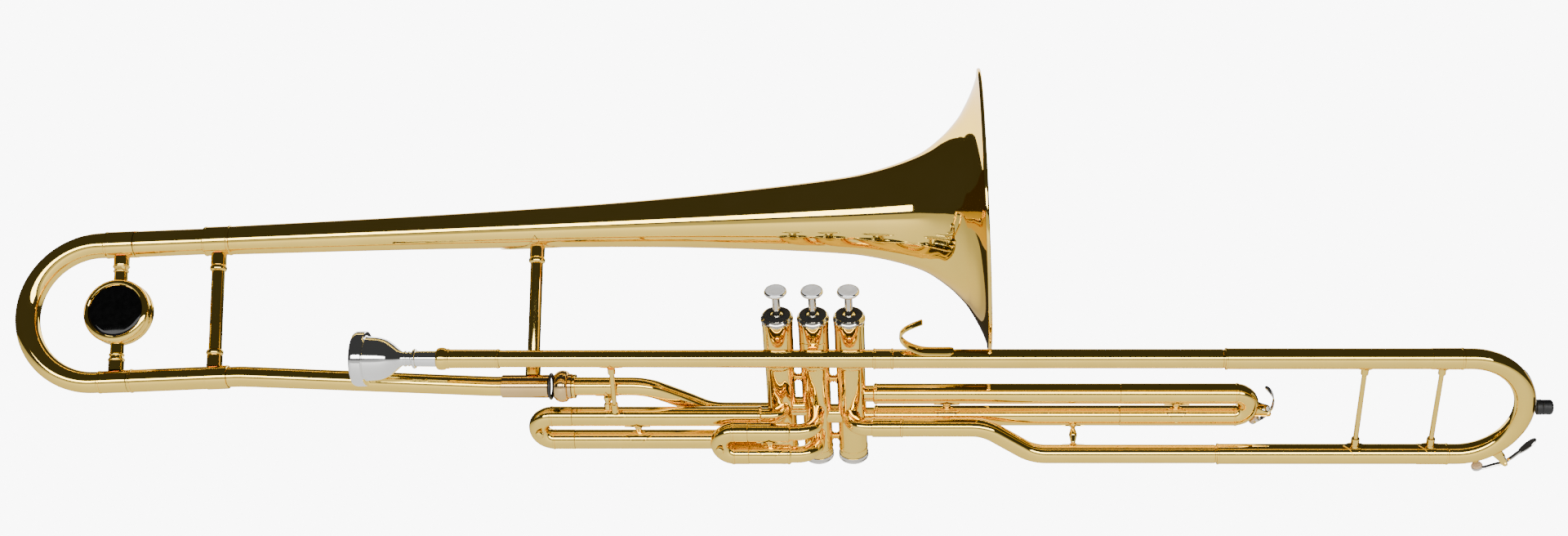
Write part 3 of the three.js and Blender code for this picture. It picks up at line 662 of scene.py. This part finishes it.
# ---------------------------------------------------------------- front tuning slide
FRONT_X = 287
BOW_X = 458.5
BOW_R = (LEAD_T - RETURN_T) / 2
BOW_MID = (BOW_X, 2)
FRONT_PIVOT, FRONT_SEAT = (494.6, -47.1), (476.1, -53.4)


def front_slide(mesh):
    far = BOW_X + BOW_R
    leg = BOW_X - FRONT_X
    corners = [at(FRONT_X, PIPE_N, LEAD_T), at(far, PIPE_N, LEAD_T), at(far, PIPE_N, RETURN_T),
               at(FRONT_X, PIPE_N, RETURN_T)]
    half = [*bead(0.8, 7.35, 0.4, 1.6), (1.8, 7.35), (leg - 27.8, 7.35), (leg - 27.6, 7.55),
            (leg - 7.4, 7.6), *bead(leg - 6.4, 7.55, 0.35, 1.6), (leg - 5.4, 7.35)]
    length = 2 * leg + math.pi * BOW_R
    skin = half + [(length - s, r) for s, r in half[::-1]]
    sweep(mesh, corners, [BOW_R, BOW_R], skin, 6.8, sides=56, step=3)
    key_saddle(mesh, BOW_MID, BOW_R + 7.2, FRONT_PIVOT, PIPE_N)
    nipple(mesh, BOW_MID, BOW_R + 6.8, FRONT_SEAT, PIPE_N)


def key_saddle(mesh, centre, wall, pivot, n):
    """Two ears that carry a water key's pivot pin, with the pin through them."""
    way = Vector((pivot[0] - centre[0], pivot[1] - centre[1])).normalized()
    for side in (-3.9, 3.9):
        foot = at(centre[0] + way.x * (wall - 1.5), n + side, centre[1] + way.y * (wall - 1.5))
        tip = at(pivot[0], n + side, pivot[1])
        reach = (tip - foot).length
        along = (tip - foot).normalized()
        across = (at(0, 1, 0) - at(0, 0, 0))
        thick, wide = across * 0.7, along.cross(across) * 2.3
        end = foot + along * (reach + 1.8)
        corner = [[mesh.verts.new(p + thick * u + wide * v * w) for u,
                   v in ((-1, -1), (1, -1), (1, 1), (-1, 1))]
                  for p, w in ((foot, 1.5), (foot + along * reach * 0.5, 1), (tip, 0.85), (end, 0.45))]
        for low, high in zip(corner, corner[1:]):
            for k in range(4):
                mesh.faces.new((low[k], low[(k + 1) % 4], high[(k + 1) % 4], high[k]))
        mesh.faces.new(corner[0][::-1])
        mesh.faces.new(corner[-1])
    pin = [(0, 1.1), (0.4, 1.5), (1.0, 1.5), (1.1, 0.9), (9.3, 0.9), (9.4, 1.5), (10, 1.5), (10.4, 1.1)]
    rod(mesh, at(pivot[0], n - 5.2, pivot[1]), at(pivot[0], n + 5.2, pivot[1]), pin, 20)


def nipple(mesh, centre, wall, seat, n):
    """The short spout that the cork closes."""
    way = Vector((seat[0] - centre[0], seat[1] - centre[1])).normalized()
    inner, outer = wall - 1.0, wall + 1.6
    rod(mesh, at(centre[0] + way.x * inner, n, centre[1] + way.y * inner),
        at(centre[0] + way.x * outer, n, centre[1] + way.y * outer),
        [(0, 3.3), (1.4, 2.6), (2.6, 2.4)], 32)


piece("front_slide_tubes", BRASS, "front_tuning_slide", ["front_slide"], front_slide)


def bow_guard(mesh):
    """A thin strip along the outside of the front bow, narrower at its ends."""
    r, count = BOW_R + 7.55, 31
    arc = [(BOW_MID[0] + r * math.cos(w), BOW_MID[1] + r * math.sin(w))
           for w in (math.radians(-34 + 2.5 * k) for k in range(count))]
    widths = [1.2 + 2.6 * min(1, k / 3, (count - 1 - k) / 3) for k in range(count)]
    strip(mesh, arc, 0.6, widths, lambda x, n, t: at(x, PIPE_N + n, t))


piece("front_bow_guard", NICKEL, "front_tuning_slide", [], bow_guard)

for number, brace_x in ((1, 385.5), (2, 439.5)):
    def front_brace(mesh, x=brace_x):
        foot, head = at(x, PIPE_N, RETURN_T + 7.0), at(x, PIPE_N, LEAD_T - 7.0)
        skin = [(0, 3.7), (0.9, 3.0), (1.6, 2.8), (2.4, 3.0), (7.2, 3.05), (7.8, 2.7), (8.1, 1.9),
                (-7.0, 1.75), (-6.6, 2.5), (-6.2, 2.75), (-1.2, 2.75), (END, 3.3)]
        rod(mesh, foot, head, skin, 28)
        for leg, sign in ((RETURN_T, 1), (LEAD_T, -1)):
            out = VALVES.to_3x3() @ Vector((0, 0, sign))
            flange(mesh, at(x, PIPE_N, leg), Vector((1, 0, 0)), out, 7.45, 8.5, 11.5 if sign > 0 else 7.5,
                   waist=0.8, thick=0.7)
    piece(f"front_slide_stay_{number}", BRASS, "front_tuning_slide", [f"front_slide_brace_{number}"],
          front_brace)


def bumper(mesh):
    start = BOW_X + BOW_R + 7.7
    skin = [(0, 3.6), (0.7, 3.6), (0.9, 5.2), (1.4, 5.5), (4.3, 5.5), (4.6, 5.2), (4.9, 5.1), (5.2, 5.35),
            (10.6, 5.35), (11.5, 5.1), (12.1, 4.5), (12.4, 3.6)]
    rod(mesh, at(start, PIPE_N, 2), at(521.6, PIPE_N, 2),
        [(s * (521.6 - start) / 12.4, r) for s, r in skin], 48)


piece("rubber_bumper", RUBBER, "front_tuning_slide", ["bumper"], bumper)


def water_key(mesh, lever, plate, pivot, seat, centre, n):
    """A lever with an oval thumb plate, a coil spring on its pivot and a round cup over the cork."""
    strip(mesh, smooth_path(lever), 1.3, 3.4, lambda x, m, t: at(x, n + m, t))
    pad = smooth_path(plate, 8)
    last = len(pad) - 1
    widths = [7.4 * math.sqrt(max(0.05, 1 - (2 * k / last - 1) ** 2)) for k in range(last + 1)]
    strip(mesh, pad, 1.0, widths, lambda x, m, t: at(x, n + m, t))
    coil = [(0, 1.3)]
    for k in range(6):
        coil += bead(0.45 + 0.9 * k, 1.5, 0.45, 0.8)
    rod(mesh, at(pivot[0], n - 2.7, pivot[1]), at(pivot[0], n + 2.7, pivot[1]), [*coil, (5.4, 1.3)], 24)
    inward = Vector((centre[0] - seat[0], centre[1] - seat[1])).normalized()
    spot = lambda d: at(seat[0] + inward.x * d, n, seat[1] + inward.y * d)
    rod(mesh, spot(-1.2), spot(1.6), [(0, 2.3), (0.3, 3.3), (0.9, 4.1), (2.8, 4.2)], 40)


def key_cork(mesh, seat, centre, n):
    inward = Vector((centre[0] - seat[0], centre[1] - seat[1])).normalized()
    spot = lambda d: at(seat[0] + inward.x * d, n, seat[1] + inward.y * d)
    rod(mesh, spot(0.8), spot(2.9), [(0, 3.8), (1.7, 3.8), (2.1, 3.4)], 36)


FRONT_LEVER = [(475, -54.4), (481, -53.8), (488, -51.2), (494.6, -48.9), (500, -44), (505.5, -37.6)]
FRONT_PLATE = [(503.6, -40), (506.4, -36.6), (509.4, -33.2), (512, -30.2), (514.6, -27.2)]
piece("front_key_lever", NICKEL, "front_key", ["front_water_key"],
      lambda mesh: water_key(mesh, FRONT_LEVER, FRONT_PLATE, FRONT_PIVOT, FRONT_SEAT, BOW_MID, PIPE_N))
piece("front_key_cork", CORK, "front_key", ["front_water_key_cork"],
      lambda mesh: key_cork(mesh, FRONT_SEAT, BOW_MID, PIPE_N))

THIRD_BOW = 300.3
THIRD_LEVER = [(315, -28.7), (318.5, -27.4), (322.5, -24), (325.6, -20.4), (327.8, -15), (328.2, -10)]
THIRD_PLATE = [(328.2, -11), (327.9, -7), (326.3, -3), (323.8, 0.3), (321.1, 2.6)]
THIRD_MID = (-3.3 - 23.3) / 2
THIRD_PIVOT, THIRD_SEAT = (324.7, -19), (315.9, -27)
piece("third_key_lever", NICKEL, "third_key", ["third_water_key"],
      lambda mesh: water_key(mesh, THIRD_LEVER, THIRD_PLATE, THIRD_PIVOT, THIRD_SEAT,
                             (THIRD_BOW, THIRD_MID), 0))
piece("third_key_cork", CORK, "third_key", ["third_water_key_cork"],
      lambda mesh: key_cork(mesh, THIRD_SEAT, (THIRD_BOW, THIRD_MID), 0))

# ---------------------------------------------------------------- valve slides
FIRST = {"n": 17, "t": (-10.4, -31.4), "r": 7.0, "bow": -187.7}
SECOND = {"n": 33, "t": (-11.9, -32.2), "r": 6.9, "bow": -57}
THIRD = {"n": 0, "t": (-3.3, -23.3), "r": 7.4, "bow": THIRD_BOW}


def fixed_tube(slide, t, open_x, step_x, valve, elbow):
    """A wide sleeve from its open end to a step, then a narrow tube into the casing."""
    def build(mesh):
        reach = abs(open_x - step_x)
        r = slide["r"]
        corners = [at(open_x, slide["n"], t)]
        corners += [at(valve, slide["n"], t), at(valve, 9.4, t)] if elbow else [at(valve + 9.2, slide["n"],
                                                                                   t)]
        skin = [(0, r - 0.15), (0.25, r), (reach - 2.4, r), *bead(reach - 1.4, r, 0.4, 1.6),
                (reach - 0.4, r), (reach, r - 0.5), (reach + 0.5, 6.0), (END, 5.9)]
        core = [(0, r - 0.6), (reach - 1.5, r - 0.6), (reach - 1, 5.3), (END, 5.3)]
        sweep(mesh, corners, [elbow] if elbow else [], skin, core)
    return build


def slide_post(slide, x):
    """A short post between a slide's two tubes."""
    def build(mesh):
        upper, lower = slide["t"]
        r = slide["r"]
        rod(mesh, at(x, slide["n"], upper - r + 0.4), at(x, slide["n"], lower + r - 0.4),
            [(0, 2.8), (1, 1.8), (1.6, 2.4), (2.4, 2.8), (3.2, 2.8), (4, 2.4), (-1, 1.8), (END, 2.8)], 24)
    return build


def slide_diamonds(mesh, slide, x):
    upper, lower = slide["t"]
    for t, sign in ((upper, -1), (lower, 1)):
        out = VALVES.to_3x3() @ Vector((0, -0.55, sign * 0.83))
        flange(mesh, at(x, slide["n"], t), Vector((1, 0, 0)), out.normalized(), slide["r"], 9.5,
               9 if sign > 0 else 5, waist=0.85, thick=0.75)


def movable(slide, inner_x, open_x, post_x=None, key=None):
    """A slide's two legs and bow, with either a water key's saddle or a pull knob."""
    def build(mesh):
        upper, lower = slide["t"]
        r, n = slide["r"], slide["n"]
        bow_r = (upper - lower) / 2
        side = 1 if slide["bow"] > open_x else -1
        apex = slide["bow"] + side * bow_r
        inner = abs(open_x - inner_x) + 0.15
        leg = abs(slide["bow"] - inner_x)
        corners = [at(inner_x, n, upper), at(apex, n, upper), at(apex, n, lower), at(inner_x, n, lower)]
        ring = inner + 15 if leg - inner < 30 else leg + 0.8
        ring = min(ring, leg + 0.8)
        half = [(0, r - 0.9), (inner, r - 0.9), (inner + 0.05, r - 0.1), (inner + 0.3, r + 0.1),
                (ring - 0.9, r + 0.1), *bead(ring, r, 0.4, 1.5),
                (ring + 0.9, r)]
        length = 2 * leg + math.pi * bow_r
        skin = half + [(length - s, v) for s, v in half[::-1]]
        sweep(mesh, corners, [bow_r, bow_r], skin, r - 1.5, sides=56, step=4)
        if post_x is not None:
            slide_post(slide, post_x)(mesh)
            slide_diamonds(mesh, slide, post_x)
        if key:
            key_saddle(mesh, (slide["bow"], THIRD_MID), bow_r + r, key[0], n)
            nipple(mesh, (slide["bow"], THIRD_MID), bow_r + r - 0.2, key[1], n)
        else:
            shift = 2.7 if slide is FIRST else 1.4
            knob = at(apex + side * (r * 0.1) + shift, n + r * 0.92, (upper + lower) / 2)
            out = VALVES.to_3x3() @ Vector((side * 0.2, -0.98, 0)).normalized()
            turned = [(0, 2.4), (0.8, 1.9), (1.4, 1.7), (1.7, 2.3), (2.4, 2.9), (3.4, 3.1), (4.3, 2.7),
                      (4.9, 1.7), (5.1, 0.6)]
            rod(mesh, knob - out * 1.5, knob + out * 3.6, turned, 28)
    return build


SLIDES = {"first": (FIRST, -172.7, -38.7, -PITCH, 7.5, -127),
          "second": (SECOND, -46.9, -17.4, 0, 12, -31.9),
          "third": (THIRD, 217.6, 41.1, PITCH, 0, 93.3)}
for word, (slide, open_x, step_x, valve, elbow, post_x) in SLIDES.items():
    upper, lower = slide["t"]

    def upper_tube(mesh, given=(slide, upper, open_x, step_x, valve, elbow), post=post_x):
        fixed_tube(*given)(mesh)
        slide_post(given[0], post)(mesh)
        slide_diamonds(mesh, given[0], post)
    piece(f"{word}_upper_sleeve", BRASS, "body", [f"{word}_slide_upper_tube"], upper_tube)
    piece(f"{word}_lower_sleeve", BRASS, "body", [f"{word}_slide_lower_tube"],
          fixed_tube(slide, lower, open_x, step_x, valve, elbow))

piece("first_slide_bow", BRASS, "first_valve_slide", ["first_slide"], movable(FIRST, -115, -172.7))
piece("second_slide_bow", BRASS, "second_valve_slide", ["second_slide"], movable(SECOND, -21, -46.9))
piece("third_slide_bow", BRASS, "third_valve_slide", ["third_slide"],
      movable(THIRD, 130, 217.6, post_x=258.3, key=(THIRD_PIVOT, THIRD_SEAT)))

# ---------------------------------------------------------------- valves
CASING_FOOT, CASING_TOP = -56.2, 62.4
KNUCKLES = ((-PITCH / 2, -14.7), (PITCH / 2, -21.4))


def casing(x):
    def build(mesh):
        s = lambda t: t - CASING_FOOT
        skin = [(0, 9.9), (0.3, 10.2), (4, 10.2), *bead(5, 10.2, 0.35, 1.4), (s(24), 10.2), (s(25), 10.25),
                *bead(s(26.4), 10.5, 0.45, 1.8), (s(27.8), 10.6),
                (s(58), 10.6), (s(58.3), 10.9), (s(62.2), 10.9), (s(62.4), 10.7)]
        sweep(mesh, [at(x, 0, CASING_FOOT), at(x, 0, CASING_TOP)], [], skin, 9, sides=64)
        if x == 0:
            rod(mesh, at(0, 10, LEAD_T + 2), at(0, PIPE_N - 6.3, LEAD_T + 2),
                [(0, 4.2), (1.4, 3.2), (-1.5, 3), (END, 4)], 28)
            front = VALVES.to_3x3() @ Vector((0, -1, 0))
            flange(mesh, at(0, 0, LEAD_T + 2), VALVES.to_3x3() @ Vector((0, 0, 1)), front, 10.6, 7.6, 9.8,
                   waist=0.5)
            for side, t in ((-1, 12), (1, 10.6), (1, -41.9)):
                rod(mesh, at(side * 9.8, 0, t), at(side * 15.2, 0, t),
                    [(0, 4), (1.4, 2.6), (2, 2.2), (2.7, 2.9), (3.4, 2.2), (4, 2.6), (5.4, 4)], 28)
    return build


def valve_cap(x):
    def build(mesh):
        skin = [(0, 11.1), (0.3, 11.4), (0.9, 11.4), (1.1, 11.1), (1.4, 11.1), (1.7, 11.4), (2.3, 11.3),
                (2.6, 11.0), (3.4, 10.5), (4.0, 10.1), (4.3, 9.9)]
        sweep(mesh, [at(x, 0, 62.6), at(x, 0, 66.9)], [], skin,
              [(0, 3.3), (1.8, 3.3), (1.9, 9.6), (4.3, 9.6)], sides=64)
        sweep(mesh, [at(x, 0, 66.4), at(x, 0, 67.3)], [], [(0, 4.6), (0.6, 4.6), (0.8, 4.4), (0.9, 4.1)],
              3.1, sides=40)
    return build


def cap_felt(x):
    def build(mesh):
        skin = [(0, 9.2), (1.6, 9.5), (2.2, 9.4), (2.5, 8.8), (2.6, 5.2), (2.3, 4.8)]
        sweep(mesh, [at(x, 0, 64.6), at(x, 0, 67.6)], [], skin, 4.7, sides=56)
    return build


def bottom_cap(x):
    def build(mesh):
        skin = [(0, 2.2), (0.25, 7.5), (0.25, 8.2), (0.0, 8.6), (0.1, 9.4), (0.6, 10.0), (1.2, 10.6),
                (1.9, 10.8), (2.4, 10.6), (2.7, 10.4), (3.0, 10.6), (4.6, 10.7), (5.1, 10.5)]
        rod(mesh, at(x, 0, -61.5), at(x, 0, -56.4), skin, 64)
    return build


def piston(x):
    """A solid lower end, a hollow barrel for the spring and a closed top with the stem."""
    def build(mesh):
        rod(mesh, at(x, 0, -39.5), at(x, 0, 25), [(0, 8.4), (0.2, 8.6), (END, 8.6)], 48)
        sweep(mesh, [at(x, 0, 24.9), at(x, 0, 54.1)], [], [(0, 8.6), (END, 8.6)], 7.4, sides=48)
        rod(mesh, at(x, 0, 54), at(x, 0, BUTTON_T + 0.2),
            [(0, 8.6), (1.8, 8.6), (2, 8.3), (2.05, 2.9), (END, 2.8)], 48)
    return build


BUTTON_T = 83.7


def button(x):
    def build(mesh):
        skin = [(0, 3.4), (0.2, 4.2), (0.7, 5.6), (1.3, 7.2), (2.0, 7.8), (2.9, 7.95), (3.6, 7.8),
                (4.1, 7.4), (4.3, 7.1), (4.1, 6.9), (3.9, 6.7)]
        rod(mesh, at(x, 0, BUTTON_T), at(x, 0, BUTTON_T + 4.5), skin, 64)
    return build


def inlay(x):
    def build(mesh):
        base = BUTTON_T + 3.4
        skin = [(0, 6.8), (0.65, 6.8), (0.9, 6.6), (1.0, 6.1), (0.95, 5.2), (0.85, 4), (0.8, 2.4),
                (0.78, 0.8)]
        rod(mesh, at(x, 0, base), at(x, 0, base + 1.0), skin, 56)
    return build


def spring(x):
    def build(mesh):
        turns, count = 5, 200
        points = [at(x + 6 * math.cos(2 * math.pi * turns * k / count),
                     6 * math.sin(2 * math.pi * turns * k / count), 29.6 + 23 * k / count)
                  for k in range(count + 1)]
        rings = []
        for i, p in enumerate(points):
            way = (points[min(i + 1, count)] - points[max(i - 1, 0)]).normalized()
            turn = way.to_track_quat("Z", "X")
            rings.append([mesh.verts.new(p + turn @ Vector((0.7 * math.cos(a), 0.7 * math.sin(a), 0)))
                          for a in (2 * math.pi * k / 8 for k in range(8))])
        for low, high in zip(rings, rings[1:]):
            for k in range(8):
                mesh.faces.new((low[k], low[(k + 1) % 8], high[(k + 1) % 8], high[k]))
        mesh.faces.new(rings[0][::-1])
        mesh.faces.new(rings[-1])
    return build


for number, x in enumerate((-PITCH, 0, PITCH), 1):
    piece(f"valve_casing_{number}", BRASS, "body", [f"casing_{number}"], casing(x))
    piece(f"valve_top_cap_{number}", NICKEL, "body", [f"top_cap_{number}"], valve_cap(x))
    piece(f"valve_felt_{number}", FELT, "body", [f"cap_felt_{number}"], cap_felt(x))
    piece(f"valve_bottom_cap_{number}", NICKEL, "body", [f"bottom_cap_{number}"], bottom_cap(x))
    piece(f"valve_piston_{number}", NICKEL, f"valve_{number}", [f"piston_{number}"], piston(x))
    piece(f"finger_button_{number}", SILVER, f"valve_{number}", [f"button_{number}"], button(x))
    piece(f"pearl_inlay_{number}", PEARL, f"valve_{number}", [], inlay(x))
    coil = piece(f"valve_spring_{number}", STEEL, "body", [f"spring_{number}"], spring(x))
    tuple(at(x, 0, 28.8) * MM)
    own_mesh(coil)

for label, (x, t) in zip(("12", "23"), KNUCKLES):
    piece(f"knuckle_tube_{label}", BRASS, "body", [f"knuckle_{label}"],
          lambda mesh, x=x, t=t: sweep(mesh, [at(x - 6.2, 0, t), at(x + 6.2, 0, t)], [],
                                       [(0, 7.6), (1.5, 7.0), (-1.5, 7.0), (END, 7.6)], 5.2))


# ---------------------------------------------------------------- floor, light and camera
def floor():
    """Plain pale paper, with a faint even glow that keeps it pale away from the softboxes."""
    material, nodes, links, shader = node_tree("floor_paper")
    links.new(ramp(nodes, links, noise(nodes, links, 3), (0.83, 0.83, 0.83), (0.86, 0.86, 0.86)),
              shader.inputs["Base Color"])
    shader.inputs["Roughness"].default_value = 0.9
    shader.inputs["Emission Color"].default_value = (1, 1, 1, 1)
    shader.inputs["Emission Strength"].default_value = 0.6
    data = bpy.data.meshes.new("floor")
    left, right, near, back, height = -9, 9, -9, 3.8, -0.6
    data.from_pydata([(left, near, height), (right, near, height), (right, back, height),
                      (left, back, height)], [], [(0, 1, 2, 3)])
    data.materials.append(material)
    made = bpy.data.objects.new("floor", data)
    bpy.context.scene.collection.objects.link(made)


def studio_world():
    """A dim even room, with a plain white backdrop in its place for the camera alone."""
    world = bpy.data.worlds.new("studio")
    bpy.context.scene.world = world
    world.use_nodes = True
    nodes, links = world.node_tree.nodes, world.node_tree.links
    nodes.clear()
    room = nodes.new("ShaderNodeBackground")
    backdrop = nodes.new("ShaderNodeBackground")
    for node, strength in ((room, 0.05), (backdrop, 9.0)):
        node.inputs["Color"].default_value = (1, 1, 1, 1)
        node.inputs["Strength"].default_value = strength
    path = nodes.new("ShaderNodeLightPath")
    choose = nodes.new("ShaderNodeMixShader")
    links.new(path.outputs["Is Camera Ray"], choose.inputs["Fac"])
    links.new(room.outputs["Background"], choose.inputs[1])
    links.new(backdrop.outputs["Background"], choose.inputs[2])
    output = nodes.new("ShaderNodeOutputWorld")
    links.new(choose.outputs["Shader"], output.inputs["Surface"])


def softbox(name, centre, width, height, power):
    """A large even rectangle of light that faces the instrument, out of the camera's sight but reflected."""
    data = bpy.data.lights.new(name, "AREA")
    data.shape = "RECTANGLE"
    data.size, data.size_y = width, height
    data.energy = power
    made = bpy.data.objects.new(name, data)
    made.location = centre
    made.rotation_euler = (Vector((0, 0, 0.08)) - Vector(centre)).to_track_quat("-Z", "Y").to_euler()
    made.visible_camera = False
    bpy.context.scene.collection.objects.link(made)


PHOTO_WIDTH, FOCAL_PIXELS, SHIFT_PIXELS = 1920, 2599, -210


def camera():
    data = bpy.data.cameras.new("camera")
    data.sensor_width = 36
    data.lens = 36 * FOCAL_PIXELS / PHOTO_WIDTH
    data.shift_x = SHIFT_PIXELS / PHOTO_WIDTH
    data.clip_start = 0.01
    made = bpy.data.objects.new("camera", data)
    made.location = (0.0996, -1.5198, 0.0873)
    made.rotation_euler = (math.radians(90), 0, 0)
    bpy.context.scene.collection.objects.link(made)
    bpy.context.scene.camera = made


floor()
studio_world()
softbox("front_softbox", (0, -2.3, 0.45), 4.2, 0.6, 85)
softbox("rear_softbox", (0, 2.3, 0.9), 3.6, 1.2, 45)
camera()
